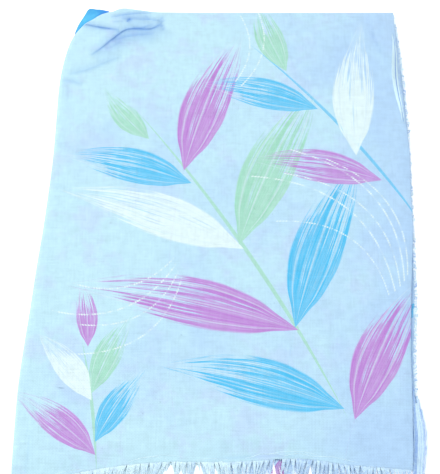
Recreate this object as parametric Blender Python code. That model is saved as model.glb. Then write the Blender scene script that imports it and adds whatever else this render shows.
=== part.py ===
"""A long scarf of thin cotton voile with frayed edges, folded in half lengthwise, then in three, lying flat.

The long fold is on the left (-X), the raw long edges on the right, the last crosswise fold at the back (+Y)
and the frayed short end at the front. The top panel is a thin wall, the layers under it are one solid with
layered edges, and each frayed edge is a row of threads on a narrow strip. Table sizes are in millimetres.
"""

import math
import random
from collections import namedtuple

import bmesh
import bpy
from mathutils import Vector

for old in list(bpy.data.objects):
    bpy.data.objects.remove(old, do_unlink=True)

MM = 0.001

# The scarf opened out, without its loose threads.
CUT_LENGTH = 1800.0
CUT_WIDTH = 860.0

# The stack: six layers, half as wide as the cut and a third as long, loosely folded. Its height, and those of
# the hidden layers' top and of the shelf round it that the top panel's rim rests over.
HALF_WIDTH = CUT_WIDTH / 4
HALF_LENGTH = CUT_LENGTH / 6
STACK_HEIGHT = 10.0
LAYERS_TOP = 7.7
SHELF_HEIGHT = 5.7

# The walls of the top panel and of the other plies, the gap between pieces, and how far the top panel's rim
# dips below its wall's evenly offset under side.
WALL = 1.2
PLY_WALL = 1.0
GAP = 0.45
RIM_DIP = 0.6

# The top panel comes down at its edges: over how wide a margin, and how far. Its threads start a little way
# off its hem.
Margin = namedtuple("Margin", "width drop")
LEFT_FOLD = Margin(9.0, 3.4)
BACK_FOLD = Margin(7.0, 5.5)
RIGHT_EDGE = Margin(12.0, 2.0)
HEM = Margin(26.0, 6.4)
HEM_HEIGHT = STACK_HEIGHT - HEM.drop
FRAY_GAP = 0.8

# A row for each stretch from front to back: where it lies along the stack, how far the left fold is in from
# the straight strip, how far the top panel's right edge and the under ply's threads are out past it, and how
# long those threads are.
Section = namedtuple("Section", "along fold edge under threads")
SECTIONS = (
    Section(-300.0, -7.9, -9.0, 4.7, 5.0),
    Section(-250.0, -7.3, -6.7, 8.9, 9.0),
    Section(-200.0, -6.2, -4.9, 0.9, 3.5),
    Section(-150.0, -2.4, -3.7, 2.2, 3.5),
    Section(-100.0, 2.4, -0.7, 6.2, 4.0),
    Section(-50.0, 6.7, 3.0, 7.3, 3.5),
    Section(0.0, 11.8, 6.7, 8.0, 2.6),
    Section(50.0, 15.7, 7.2, 8.5, 2.6),
    Section(100.0, 18.8, 8.2, 9.1, 2.6),
    Section(150.0, 20.1, 6.0, 8.9, 3.0),
    Section(200.0, 21.8, 3.2, 7.3, 3.4),
    Section(240.0, 27.5, 2.5, 5.0, 3.4),
    Section(267.0, 36.0, 0.2, 3.0, 3.0),
    Section(287.3, 50.4, -1.0, 0.5, 2.4),
)

# The front and back edges: where across, and how far out past the straight strip.
Reach = namedtuple("Reach", "across out")
HEM_LINE = (
    Reach(-223.0, 6.4),
    Reach(-170.0, -1.6),
    Reach(-123.0, -10.6),
    Reach(-64.0, -17.2),
    Reach(11.0, -17.2),
    Reach(86.0, -20.6),
    Reach(139.0, -13.8),
    Reach(206.0, -8.2),
)
BACK_LINE = (
    Reach(-164.6, -12.7),
    Reach(-157.4, -8.2),
    Reach(-147.8, -0.7),
    Reach(-138.1, 3.2),
    Reach(-131.9, 4.8),
    Reach(-125.0, 8.2),
    Reach(-117.3, 9.4),
    Reach(-98.7, 6.6),
    Reach(-74.0, 3.4),
    Reach(214.0, 3.0),
)

# The creases: the way each runs, its height, and how far it slopes off to the left and right of that way.
Crease = namedtuple("Crease", "path height left right")
CREASES = (
    Crease(((-170, 284), (-153, 280), (-122, 273)), 2.0, 11.0, 5.0),
    Crease(((-157, 237), (-131, 263), (-115, 275), (-92, 275), (-75, 284)), 2.8, 16.0, 6.0),
    Crease(((-178, 212), (-157, 218), (-125, 234)), 1.3, 12.0, 6.0),
    Crease(((-189, 201), (-168, 197)), 0.8, 8.0, 6.0),
    Crease(((-193, 117), (-152, 89), (-104, 55)), 1.1, 9.0, 7.0),
    Crease(((195, 296), (199, 259), (203, 222)), 1.0, 9.0, 8.0),
    Crease(((-214, -190), (-203, -120), (-196, -40)), 0.7, 10.0, 9.0),
    Crease(((-40, -270), (60, -262), (150, -272)), 0.9, 12.0, 9.0),
)

# The cloth lies in faint swells: the length and slant of each, and how high it lifts the cloth.
Swell = namedtuple("Swell", "length slant lift")
SWELLS = (Swell(210.0, 0.5, 0.18), Swell(150.0, 2.1, 0.14))

# The edges of the hidden layers, ring by ring from the floor up: how far in from the top panel's edge each
# ring lies, and its share of the shelf's height.
Ring = namedtuple("Ring", "left back right front")
Step = namedtuple("Step", "inset share")
RINGS = (
    Ring(Step(3.2, 0.00), Step(5.0, 0.00), Step(1.8, 0.00), Step(2.6, 0.00)),
    Ring(Step(1.2, 0.05), Step(3.4, 0.06), Step(0.8, 0.07), Step(1.5, 0.04)),
    Ring(Step(0.6, 0.16), Step(2.3, 0.18), Step(0.6, 0.20), Step(1.2, 0.10)),
    Ring(Step(1.2, 0.28), Step(1.6, 0.30), Step(1.9, 0.26), Step(1.5, 0.15)),
    Ring(Step(3.2, 0.34), Step(1.3, 0.38), Step(1.1, 0.33), Step(12.0, 0.20)),
    Ring(Step(1.2, 0.42), Step(1.0, 0.48), Step(0.9, 0.46), Step(20.5, 0.36)),
    Ring(Step(0.7, 0.55), Step(0.8, 0.58), Step(2.2, 0.52), Step(20.2, 0.50)),
    Ring(Step(1.3, 0.68), Step(0.6, 0.70), Step(1.3, 0.60), Step(20.6, 0.64)),
    Ring(Step(3.0, 0.75), Step(0.5, 0.80), Step(1.2, 0.72), Step(21.8, 0.78)),
    Ring(Step(1.0, 0.86), Step(0.5, 0.90), Step(2.4, 0.80), Step(23.4, 0.90)),
    Ring(Step(0.5, 1.00), Step(0.6, 1.00), Step(1.6, 1.00), Step(25.5, 1.00)),
    Ring(Step(3.0, 1.00), Step(3.2, 1.00), Step(2.6, 1.00), Step(28.0, 1.00)),
)
# Above the shelf, the rings rise to the layers' top inside the top panel: only how far in each lies.
TOP_RINGS = (
    Ring(7.0, 7.0, 17.0, 32.0),
    Ring(12.0, 13.0, 20.0, 38.0),
)
CORNER_RADIUS = 8.0

# Grid lines, as shares of a way: the least spacing of those of the hidden layers, and those over a narrow ply.
LEAST_SPACING = 0.033
NARROW = (0.0, 0.35, 0.7, 1.0)

# The under ply shows past the top panel's right edge. It lies lower than that edge, and rises to its tucked
# margin under the panel.
SIDE_TUCK = 15.0
SIDE_HEIGHT = 6.2
SIDE_RISE = 1.9
SIDE_FALL = 0.15
SIDE_HEM_DROP = 3.7
SIDE_FRONT = -288.0
SIDE_BACK = 288.0

# The corner of an inner layer peeks out behind the back left corner: how far along the outline from that
# corner, and how far out the ply reaches there.
Peek = namedtuple("Peek", "along out")
CORNER_PEEKS = (
    Peek(-15.0, 1.0),
    Peek(-11.0, 7.5),
    Peek(-5.5, 14.5),
    Peek(1.5, 22.0),
    Peek(7.0, 20.5),
    Peek(14.0, 14.0),
    Peek(23.0, 7.6),
    Peek(31.0, 3.0),
)
CORNER_HEIGHT = 3.9
CORNER_FALL = 2.0
CORNER_GAP = 0.65

# The frayed edges: how many threads, how long, how wide at the root, how thick, how wide the strip is that
# they grow from, how far they sink to their tips, how much they lean to and fro and over what share of the
# edge, and how uneven their lengths are.
Fray = namedtuple("Fray", "threads length root thick strip sink lean wave uneven")
HEM_FRAY = Fray(84, 17.0, 1.9, 0.85, 1.3, 1.15, 0.28, 0.37, 0.35)
UNDER_FRAY = Fray(44, 15.0, 2.4, 0.75, 1.2, 0.05, 0.22, 0.57, 0.4)
SIDE_FRAY = Fray(62, 3.5, 1.5, 0.75, 1.1, 0.9, 0.25, 0.33, 0.3)

# The hem's threads are worn short at one spot: where along it, over how wide a share of it, and by how much.
WORN_SPOT = 0.43
WORN_WIDTH = 0.012
WORN_SHARE = 0.75

# Where the under ply flares out near the front, its threads lie forward along the edge.
FLARE_AT = -255.0
FLARE_WIDTH = 32.0
FLARE_LEAN = 1.1


def linear(colour):
    """An sRGB hex colour as linear values."""
    parts = [int(colour[k : k + 2], 16) / 255 for k in (0, 2, 4)]
    return [c / 12.92 if c <= 0.04045 else ((c + 0.055) / 1.055) ** 2.4 for c in parts]


def cloth_material(name, colour, roughness):
    material = bpy.data.materials.new(name)
    material.use_nodes = True
    shader = material.node_tree.nodes["Principled BSDF"]
    shader.inputs["Base Color"].default_value = (*linear(colour), 1.0)
    shader.inputs["Roughness"].default_value = roughness
    shader.inputs["Metallic"].default_value = 0.0
    return material


def clamped(value):
    return min(max(value, 0.0), 1.0)


def eased(value):
    """From 0 to 1 with a soft start and end."""
    value = clamped(value)
    return value * value * (3.0 - 2.0 * value)


def mixed(start, end, share):
    return start + (end - start) * share


def smooth_curve(points):
    """A function that runs smoothly through (place, value) pairs and holds its first and last value."""
    places = [place for place, _ in points]
    values = [value for _, value in points]
    last = len(points) - 1

    def slope(k):
        before, after = max(k - 1, 0), min(k + 1, last)
        return (values[after] - values[before]) / (places[after] - places[before])

    def value_at(place):
        if place <= places[0]:
            return values[0]
        if place >= places[last]:
            return values[last]
        k = max(index for index in range(last) if places[index] <= place)
        span = places[k + 1] - places[k]
        t = (place - places[k]) / span
        bend_in = slope(k) * span * t * (1 - t) ** 2
        bend_out = slope(k + 1) * span * t * t * (t - 1)
        return mixed(values[k], values[k + 1], eased(t)) + bend_in + bend_out

    return value_at


fold_in = smooth_curve([(row.along, row.fold) for row in SECTIONS])
edge_out = smooth_curve([(row.along, row.edge) for row in SECTIONS])
under_out = smooth_curve([(row.along, row.under) for row in SECTIONS])
thread_length = smooth_curve([(row.along, row.threads) for row in SECTIONS])
hem_out = smooth_curve(HEM_LINE)
back_out = smooth_curve(BACK_LINE)


def left_x(y):
    return fold_in(y) - HALF_WIDTH


def right_x(y):
    return HALF_WIDTH + edge_out(y)


def front_y(x):
    return -HALF_LENGTH - hem_out(x)


def back_y(x):
    return HALF_LENGTH + back_out(x)


def ply_edge_x(y):
    """Where the under ply's cloth ends and its loose threads begin."""
    return HALF_WIDTH + under_out(y) - thread_length(y)


def plan(u, v):
    """The place on the floor that lies u of the way across and v of the way back between the four edges."""
    front_left, front_right = left_x(-HALF_LENGTH), right_x(-HALF_LENGTH)
    back_left, back_right = left_x(HALF_LENGTH), right_x(HALF_LENGTH)
    front_x, back_x = mixed(front_left, front_right, u), mixed(back_left, back_right, u)
    left_y = mixed(front_y(front_left), back_y(back_left), v)
    right_y = mixed(front_y(front_right), back_y(back_right), v)
    x = (
        mixed(front_x, back_x, v)
        + mixed(left_x(left_y), right_x(right_y), u)
        - mixed(mixed(front_left, front_right, u), mixed(back_left, back_right, u), v)
    )
    y = mixed(front_y(front_x), back_y(back_x), v)
    return x, y


def panel_height(x, y, grown=0.0):
    """The top panel's outer side without its creases, as if its edges lay further out by grown."""
    left = max(x - left_x(y) - grown, 0.0)
    back = max(back_y(x) - y - grown, 0.0)
    right = max(right_x(y) - x - grown, 0.0)
    front = max(y - front_y(x) - grown, 0.0)
    drops = (
        LEFT_FOLD.drop * (1 - math.sqrt(1 - (1 - clamped(left / LEFT_FOLD.width)) ** 2)),
        BACK_FOLD.drop * (1 - math.sqrt(1 - (1 - clamped(back / BACK_FOLD.width)) ** 2)),
        RIGHT_EDGE.drop * (1 - clamped(right / RIGHT_EDGE.width)) ** 2,
        HEM.drop * (1 - eased(front / HEM.width)),
    )
    return STACK_HEIGHT - sum(drop**3 for drop in drops) ** (1 / 3)


def crease_lift(x, y):
    """How far the creases and swells lift the cloth at a place."""
    lift = 0.0
    for crease in CREASES:
        path = [Vector(point) for point in crease.path]
        runs = [(end - start).length for start, end in zip(path, path[1:])]
        nearest, side, share = math.inf, 0.0, 0.0
        for k, (start, end) in enumerate(zip(path, path[1:])):
            way = end - start
            off = Vector((x, y)) - start
            t = clamped(off.dot(way) / way.length_squared)
            distance = (off - way * t).length
            if distance < nearest:
                nearest, side = distance, way.cross(off)
                share = (sum(runs[:k]) + t * runs[k]) / sum(runs)
        width = crease.left if side > 0 else crease.right
        lift += crease.height * math.sqrt(4 * share * (1 - share)) * math.exp(-((nearest / width) ** 2))
    for swell in SWELLS:
        along = x * math.cos(swell.slant) + y * math.sin(swell.slant)
        lift += swell.lift * math.sin(2 * math.pi * along / swell.length)
    return lift


def panel_point(u, v):
    x, y = plan(u, v)
    near_edge = eased(min(x - left_x(y), back_y(x) - y, right_x(y) - x, y - front_y(x)) / LEFT_FOLD.width)
    return x, y, panel_height(x, y) + crease_lift(x, y) * near_edge


def under_panel(x, y):
    """How high a piece may reach under the top panel, clear of its wall and of its rim."""
    return min(
        panel_height(x, y) - WALL - GAP,
        panel_height(x, y, 1.5 * (WALL + GAP)) - RIM_DIP - GAP,
    )


def side_height(x, y):
    """The under ply's outer side along the right."""
    inside = right_x(y) - x
    height = SIDE_HEIGHT + SIDE_RISE * eased(inside / SIDE_TUCK) + SIDE_FALL * min(inside, 0.0)
    height -= SIDE_HEM_DROP * (1 - eased((y - front_y(x)) / HEM.width))
    return min(height, under_panel(x, y)) if inside > -GAP else height


def side_point(u, v):
    y = mixed(SIDE_FRONT, SIDE_BACK, v)
    x = mixed(right_x(y) - SIDE_TUCK, ply_edge_x(y), u)
    return x, y, side_height(x, y)


def layers_ceiling(x, y):
    """How high the hidden layers may reach."""
    ceiling = min(under_panel(x, y), LAYERS_TOP)
    if right_x(y) - x < SIDE_TUCK + 3.0:
        ceiling = min(ceiling, side_height(x, y) - PLY_WALL - GAP)
    return ceiling


def rounded(u, v):
    """A place in the unit square, drawn in so that the square's corners are round on the stack."""
    across, along = 2 * HALF_WIDTH, 2 * HALF_LENGTH
    beside = 1 - min(u, 1 - u) * across / CORNER_RADIUS
    behind = 1 - min(v, 1 - v) * along / CORNER_RADIUS
    if beside <= 0 or behind <= 0:
        return u, v
    side_inset = (1 - beside * math.sqrt(1 - behind**2 / 2)) * CORNER_RADIUS / across
    end_inset = (1 - behind * math.sqrt(1 - beside**2 / 2)) * CORNER_RADIUS / along
    return (side_inset if u < 0.5 else 1 - side_inset), (end_inset if v < 0.5 else 1 - end_inset)


def inset_plan(u, v, left, back, right, front):
    """plan() on the unit square drawn in by an inset at each side."""
    u, v = rounded(u, v)
    across, along = 2 * HALF_WIDTH, 2 * HALF_LENGTH
    return plan(mixed(left / across, 1 - right / across, u), mixed(front / along, 1 - back / along, v))


def floor_point(u, v, ring):
    return *inset_plan(u, v, *(step.inset for step in ring)), 0.0


def ring_point(u, v, ring):
    """A point of the hidden layers' edge: each side has its own inset and share, blended at the corners."""
    across, along = 2 * HALF_WIDTH, 2 * HALF_LENGTH
    distances = (u * across, (1 - v) * along, (1 - u) * across, v * along)
    weights = [max(1 - distance / (2 * CORNER_RADIUS), 0.0) for distance in distances]
    share = sum(weight * step.share for weight, step in zip(weights, ring)) / sum(weights)
    shelf = inset_plan(u, v, *(step.inset for step in RINGS[-2]))
    x, y = inset_plan(u, v, *(step.inset for step in ring))
    return x, y, share * min(SHELF_HEIGHT, layers_ceiling(*shelf))


def top_ring_point(u, v, ring):
    x, y = inset_plan(u, v, *ring)
    return x, y, layers_ceiling(x, y)


def fold_lines(width, steps=4):
    """Distances from an edge where cloth rolls over, closer together near the edge."""
    return [width * (1 - math.cos(math.pi / 2 * k / steps)) for k in range(steps)]


def even_lines(start, end, count):
    return [mixed(start, end, k / count) for k in range(count)]


def panel_columns():
    """Grid lines across the panel, from 0 to 1, close together at the edges and near the creased corner."""
    width = 2 * HALF_WIDTH
    lines = fold_lines(LEFT_FOLD.width)
    lines += even_lines(LEFT_FOLD.width, 125.0, 15)
    lines += even_lines(125.0, width - RIGHT_EDGE.width, 11)
    lines += even_lines(width - RIGHT_EDGE.width, width, 4) + [width]
    return [line / width for line in lines]


def panel_rows():
    """Grid lines from the hem to the back fold, from 0 to 1."""
    length = 2 * HALF_LENGTH
    lines = even_lines(0.0, HEM.width, 5)
    lines += even_lines(HEM.width, 490.0, 17)
    lines += even_lines(490.0, length - BACK_FOLD.width, 14)
    lines += [length - line for line in reversed(fold_lines(BACK_FOLD.width))]
    return [line / length for line in lines]


def side_rows():
    length = SIDE_BACK - SIDE_FRONT
    lines = even_lines(0.0, HEM.width, 5) + even_lines(HEM.width, length, 23) + [length]
    return [line / length for line in lines]


def thinned(lines):
    """The grid lines without those that lie too close to the one before."""
    kept = lines[:1]
    for line in lines[1:-1]:
        if min(line - kept[-1], lines[-1] - line) > LEAST_SPACING:
            kept.append(line)
    return kept + lines[-1:]


def add_object(name, mesh_maker, material, parent):
    mesh = bpy.data.meshes.new(name)
    mesh_maker.to_mesh(mesh)
    mesh_maker.free()
    mesh.shade_smooth()
    mesh.materials.append(material)
    piece = bpy.data.objects.new(name, mesh)
    piece.parent = parent
    bpy.context.collection.objects.link(piece)
    return piece


def grid_of_points(columns, rows, point_at):
    """A bmesh grid whose corner at each column and row lies where point_at(u, v) says, in millimetres."""
    maker = bmesh.new()
    across, along = len(columns) - 1, len(rows) - 1
    bmesh.ops.create_grid(maker, x_segments=across, y_segments=along, size=0.5)
    for vertex in maker.verts:
        u = columns[round((vertex.co.x + 0.5) * across)]
        v = rows[round((vertex.co.y + 0.5) * along)]
        vertex.co = Vector(point_at(u, v)) * MM
    return maker


def add_cloth(name, columns, rows, point_at, wall, material, parent):
    """A piece of cloth whose outer side runs through the points, with its wall under it."""
    piece = add_object(name, grid_of_points(columns, rows, point_at), material, parent)
    thickness = piece.modifiers.new("wall", "SOLIDIFY")
    thickness.thickness = wall * MM
    thickness.offset = -1.0
    thickness.use_even_offset = True
    return piece


def add_layers(name, columns, rows, material, parent):
    """The hidden layers: a flat resting face, rings up their layered edges, and a top that follows the panel."""
    bottom, top = RINGS[0], TOP_RINGS[-1]
    maker = grid_of_points(columns, rows, lambda u, v: floor_point(u, v, bottom))
    floor_faces = list(maker.faces)
    lid = grid_of_points(columns, rows, lambda u, v: top_ring_point(u, v, top))
    lid_mesh = bpy.data.meshes.new(name + "_top")
    lid.to_mesh(lid_mesh)
    lid.free()
    count = len(maker.verts)
    maker.from_mesh(lid_mesh)
    bpy.data.meshes.remove(lid_mesh)
    maker.verts.ensure_lookup_table()
    bmesh.ops.reverse_faces(maker, faces=floor_faces)

    width, depth = len(columns), len(rows)
    rim = [(i, 0) for i in range(width - 1)]
    rim += [(width - 1, j) for j in range(depth - 1)]
    rim += [(i, depth - 1) for i in range(width - 1, 0, -1)]
    rim += [(0, j) for j in range(depth - 1, 0, -1)]

    def grid_ring(first):
        return [maker.verts[first + j * width + i] for i, j in rim]

    rings = [grid_ring(0)]
    for ring in RINGS[1:]:
        points = (ring_point(columns[i], rows[j], ring) for i, j in rim)
        rings.append([maker.verts.new(Vector(point) * MM) for point in points])
    for ring in TOP_RINGS[:-1]:
        points = (top_ring_point(columns[i], rows[j], ring) for i, j in rim)
        rings.append([maker.verts.new(Vector(point) * MM) for point in points])
    maker.verts.ensure_lookup_table()
    rings.append(grid_ring(count))
    for lower, upper in zip(rings, rings[1:]):
        for k in range(len(rim)):
            maker.faces.new((lower[k - 1], lower[k], upper[k], upper[k - 1]))
    bmesh.ops.recalc_face_normals(maker, faces=maker.faces)
    return add_object(name, maker, material, parent)


def corner_point(u, v):
    """The peeking corner: u of the way along its visible rim, v of the way out from the top panel."""
    places = len(CORNER_PEEKS) - 1
    along = smooth_curve([(k / places, row.along) for k, row in enumerate(CORNER_PEEKS)])(u)
    out = smooth_curve([(k / places, row.out) for k, row in enumerate(CORNER_PEEKS)])(u)
    clear = CORNER_GAP / (2 * HALF_WIDTH)
    if along < 0:
        x, y = plan(-clear, 1 + clear + along / (2 * HALF_LENGTH))
    else:
        x, y = plan(along / (2 * HALF_WIDTH) - clear, 1 + clear)
    farthest = max(row.out for row in CORNER_PEEKS)
    return x, y + out * v, CORNER_HEIGHT - CORNER_FALL * eased(v) * out / farthest


def add_fray(name, fray, edge_at, length_at, lean_at, material, parent):
    """A frayed edge: threads of four sides, apart from each other, on a narrow strip along an edge.

    edge_at(t) gives the strip's inner upper line, and the way out from it, at t of the way along.
    """
    draw = random.Random(fray.threads)
    span = sum((edge_at(k / 64)[0] - edge_at((k + 1) / 64)[0]).length for k in range(64))
    half_root = fray.root / 2 / span
    places = [0.0]
    for k in range(fray.threads):
        middle = (k + 0.5) / fray.threads
        places += [middle - half_root, middle + half_root]
    places.append(1.0)

    maker = bmesh.new()
    down = Vector((0, 0, -fray.thick))
    stations = []
    for place in places:
        start, out = edge_at(place)
        corners = (start, start + out * fray.strip, start + out * fray.strip + down, start + down)
        stations.append([maker.verts.new(corner * MM) for corner in corners])
    roots = []
    for k, (a, b) in enumerate(zip(stations, stations[1:])):
        for side in range(4):
            after = (side + 1) % 4
            face = maker.faces.new((a[side], b[side], b[after], a[after]))
            if side == 1 and k % 2 == 1:
                roots.append(face)
    maker.faces.new(stations[0])
    maker.faces.new(reversed(stations[-1]))

    for k, face in enumerate(roots):
        t = (k + 0.5) / fray.threads
        length = length_at(t) * (1 + draw.uniform(-fray.uneven, fray.uneven * 0.6))
        lean = lean_at(t) + draw.uniform(-0.06, 0.06)
        bow = draw.uniform(-0.5, 0.5)
        start, out = edge_at(t)
        along = Vector((out.y, -out.x, 0))
        for part, taper in ((0.5, 0.85), (1.0, 0.6)):
            face = bmesh.ops.extrude_discrete_faces(maker, faces=[face])["faces"][0]
            middle = start + out * (fray.strip + length * part) + along * (lean * length * part)
            middle += along * bow * math.sin(math.pi * part) + down / 2
            middle.z -= fray.sink * eased(part)
            centre = face.calc_center_median()
            for vertex in face.verts:
                vertex.co = middle * MM + (vertex.co - centre) * taper
    bmesh.ops.recalc_face_normals(maker, faces=maker.faces)
    return add_object(name, maker, material, parent)


def hem_edge(t):
    """The top panel's frayed short end."""
    x = mixed(left_x(-HALF_LENGTH) + 1.0, right_x(-HALF_LENGTH) - 0.5, t)
    return Vector((x, front_y(x) - FRAY_GAP, HEM_HEIGHT - 0.15)), Vector((0, -1, 0))


def under_edge(t):
    """The under ply's frayed short end, which lies on the floor under the hem."""
    x = mixed(left_x(-HALF_LENGTH) + 6.0, right_x(-HALF_LENGTH) - 20.0, t)
    inset = min(step.front.inset for step in RINGS) - FRAY_GAP
    return Vector((x, front_y(x) + inset, UNDER_FRAY.thick + GAP)), Vector((0, -1, 0))


def side_edge(t):
    """The under ply's frayed long edge, from the front to the back."""
    y = mixed(SIDE_FRONT + 1.0, SIDE_BACK - 1.0, t)
    x = ply_edge_x(y)
    return Vector((x + GAP, y, side_height(x, y) - 0.05)), Vector((1, 0, 0))


def hem_length(t):
    return HEM_FRAY.length * (1 - WORN_SHARE * math.exp(-(((t - WORN_SPOT) / WORN_WIDTH) ** 2)))


def under_length(t):
    return UNDER_FRAY.length


def side_length(t):
    y = mixed(SIDE_FRONT, SIDE_BACK, t)
    return max(thread_length(y) - SIDE_FRAY.strip - GAP, SIDE_FRAY.thick)


def wavy_lean(fray, t):
    return fray.lean * math.sin(2 * math.pi * t / fray.wave)


def hem_lean(t):
    return wavy_lean(HEM_FRAY, t)


def under_lean(t):
    return wavy_lean(UNDER_FRAY, t)


def side_lean(t):
    y = mixed(SIDE_FRONT, SIDE_BACK, t)
    return wavy_lean(SIDE_FRAY, t) + FLARE_LEAN * math.exp(-(((y - FLARE_AT) / FLARE_WIDTH) ** 2))


def build_scarf():
    scarf = bpy.data.objects.new("scarf", None)
    bpy.context.collection.objects.link(scarf)
    columns, rows = panel_columns(), panel_rows()
    printed = cloth_material("printed_voile", "CDE8FA", 0.8)
    plain = cloth_material("folded_voile", "BFDDF8", 0.85)
    under = cloth_material("under_voile", "B8D8F7", 0.85)
    corner = cloth_material("corner_voile", "69C8FA", 0.8)
    yarn = cloth_material("loose_yarn", "CBE6F7", 0.75)

    add_cloth("top_panel", columns, rows, panel_point, WALL, printed, scarf)
    add_layers("hidden_layers", thinned(columns), thinned(rows), plain, scarf)
    add_cloth("side_ply", NARROW, side_rows(), side_point, PLY_WALL, under, scarf)
    add_cloth("corner_ply", even_lines(0.0, 1.0, 14) + [1.0], NARROW, corner_point, PLY_WALL, corner, scarf)
    add_fray("hem_fringe", HEM_FRAY, hem_edge, hem_length, hem_lean, yarn, scarf)
    add_fray("under_fringe", UNDER_FRAY, under_edge, under_length, under_lean, yarn, scarf)
    add_fray("side_fringe", SIDE_FRAY, side_edge, side_length, side_lean, yarn, scarf)
    return scarf


def centre_on_floor(scarf):
    """Moves the scarf so that the middle of its footprint is at the origin."""
    bpy.context.view_layer.update()
    depsgraph = bpy.context.evaluated_depsgraph_get()
    corners = []
    for piece in scarf.children:
        shown = piece.evaluated_get(depsgraph)
        corners += [shown.matrix_world @ Vector(corner) for corner in shown.bound_box]
    for axis in (0, 1):
        reach = [corner[axis] for corner in corners]
        scarf.location[axis] -= (min(reach) + max(reach)) / 2


centre_on_floor(build_scarf())
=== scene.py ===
import math
from collections import namedtuple
from functools import partial

import bmesh
import bpy
import numpy as np
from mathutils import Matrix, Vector, noise


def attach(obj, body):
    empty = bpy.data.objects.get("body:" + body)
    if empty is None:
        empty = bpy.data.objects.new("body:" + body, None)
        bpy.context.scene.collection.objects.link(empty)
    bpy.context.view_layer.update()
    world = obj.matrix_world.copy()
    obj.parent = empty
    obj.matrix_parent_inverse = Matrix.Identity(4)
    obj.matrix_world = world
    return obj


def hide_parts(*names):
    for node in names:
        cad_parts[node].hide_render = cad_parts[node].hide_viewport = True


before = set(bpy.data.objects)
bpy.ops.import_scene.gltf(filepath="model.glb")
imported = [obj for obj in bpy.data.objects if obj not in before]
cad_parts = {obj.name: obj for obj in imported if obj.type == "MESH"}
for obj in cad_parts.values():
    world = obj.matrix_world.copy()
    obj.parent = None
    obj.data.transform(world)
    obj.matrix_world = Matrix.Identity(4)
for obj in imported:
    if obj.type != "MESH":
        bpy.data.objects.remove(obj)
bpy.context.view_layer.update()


# ----------------------------------------------------------------------------------------------------------
# The folded layers: the five plies of dyed cotton voile under the top one. The cut was folded in half
# lengthwise and then in three, so there are soft folds at the left and the front, single raw edges at the
# right, and one big fold at the back. Nothing holds them: they lie loosely on each other.
MM = 0.001
MIDDLE = (-1.13, 6.90, 0.0)
HALF_WIDTH = 215.0
HALF_LENGTH = 300.0
STACK_HEIGHT = 10.0
LID_HEIGHT = 7.9

# Sizes are in millimetres, from the stack's middle. From front to back: how far in the left fold lies, how
# far out the top panel's right edge and the next ply's threads lie, and how long those threads are.
Section = namedtuple("Section", "along fold edge under threads")
SECTIONS = [Section(*row) for row in (
    (-300.0, -7.9, -9.0, 4.7, 5.0),
    (-250.0, -7.3, -6.7, 8.9, 9.0),
    (-200.0, -6.2, -4.9, 0.9, 3.5),
    (-150.0, -2.4, -3.7, 2.2, 3.5),
    (-100.0, 2.4, -0.7, 6.2, 4.0),
    (-50.0, 6.7, 3.0, 7.3, 3.5),
    (0.0, 11.8, 6.7, 8.0, 2.6),
    (50.0, 15.7, 7.2, 8.5, 2.6),
    (100.0, 18.8, 8.2, 9.1, 2.6),
    (150.0, 20.1, 6.0, 8.9, 3.0),
    (200.0, 21.8, 3.2, 7.3, 3.4),
    (240.0, 27.5, 2.5, 5.0, 3.4),
    (267.0, 36.0, 0.2, 3.0, 3.0),
    (287.3, 50.4, -1.0, 0.5, 2.4),
)]
HEM_LINE = (
    (-223.0, 6.4), (-170.0, -1.6), (-123.0, -10.6), (-64.0, -17.2),
    (11.0, -17.2), (86.0, -20.6), (139.0, -13.8), (206.0, -8.2),
)
BACK_LINE = (
    (-164.6, -12.7), (-157.4, -8.2), (-147.8, -0.7), (-138.1, 3.2), (-131.9, 4.8),
    (-125.0, 8.2), (-117.3, 9.4), (-98.7, 6.6), (-74.0, 3.4), (214.0, 3.0),
)

# How wide a margin comes down at each edge and how far, and how far in and down the cloth rolls on under at
# the two folds.
Margin = namedtuple("Margin", "width drop")
LEFT_FOLD, BACK_FOLD = Margin(9.0, 3.4), Margin(7.0, 5.5)
RIGHT_EDGE, HEM = Margin(12.0, 2.0), Margin(26.0, 6.4)
Roll = namedtuple("Roll", "inward down")
LEFT_ROLL, BACK_ROLL = Roll(3.0, 1.9), Roll(3.0, 3.4)


def eased(value):
    """From 0 to 1 with a soft start and end."""
    value = np.clip(value, 0.0, 1.0)
    return value * value * (3.0 - 2.0 * value)


def smooth_curve(points):
    """A function that runs smoothly through (place, value) pairs and holds its first and last value."""
    places, values = np.array(points, float).T
    last = len(places) - 1
    after, before = np.minimum(np.arange(last + 1) + 1, last), np.maximum(np.arange(last + 1) - 1, 0)
    slopes = (values[after] - values[before]) / (places[after] - places[before])

    def value_at(place):
        place = np.clip(place, places[0], places[last])
        k = np.clip(np.searchsorted(places, place, side="right") - 1, 0, last - 1)
        span = places[k + 1] - places[k]
        t = (place - places[k]) / span
        bend = slopes[k] * span * t * (1 - t) ** 2 + slopes[k + 1] * span * t * t * (t - 1)
        return values[k] + (values[k + 1] - values[k]) * eased(t) + bend

    return value_at


fold_in = smooth_curve([(row.along, row.fold) for row in SECTIONS])
edge_out = smooth_curve([(row.along, row.edge) for row in SECTIONS])
hem_out = smooth_curve(HEM_LINE)
back_out = smooth_curve(BACK_LINE)


def left_x(y):
    return fold_in(y) - HALF_WIDTH


def right_x(y):
    return HALF_WIDTH + edge_out(y)


def front_y(x):
    return -HALF_LENGTH - hem_out(x)


def back_y(x):
    return HALF_LENGTH + back_out(x)


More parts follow.
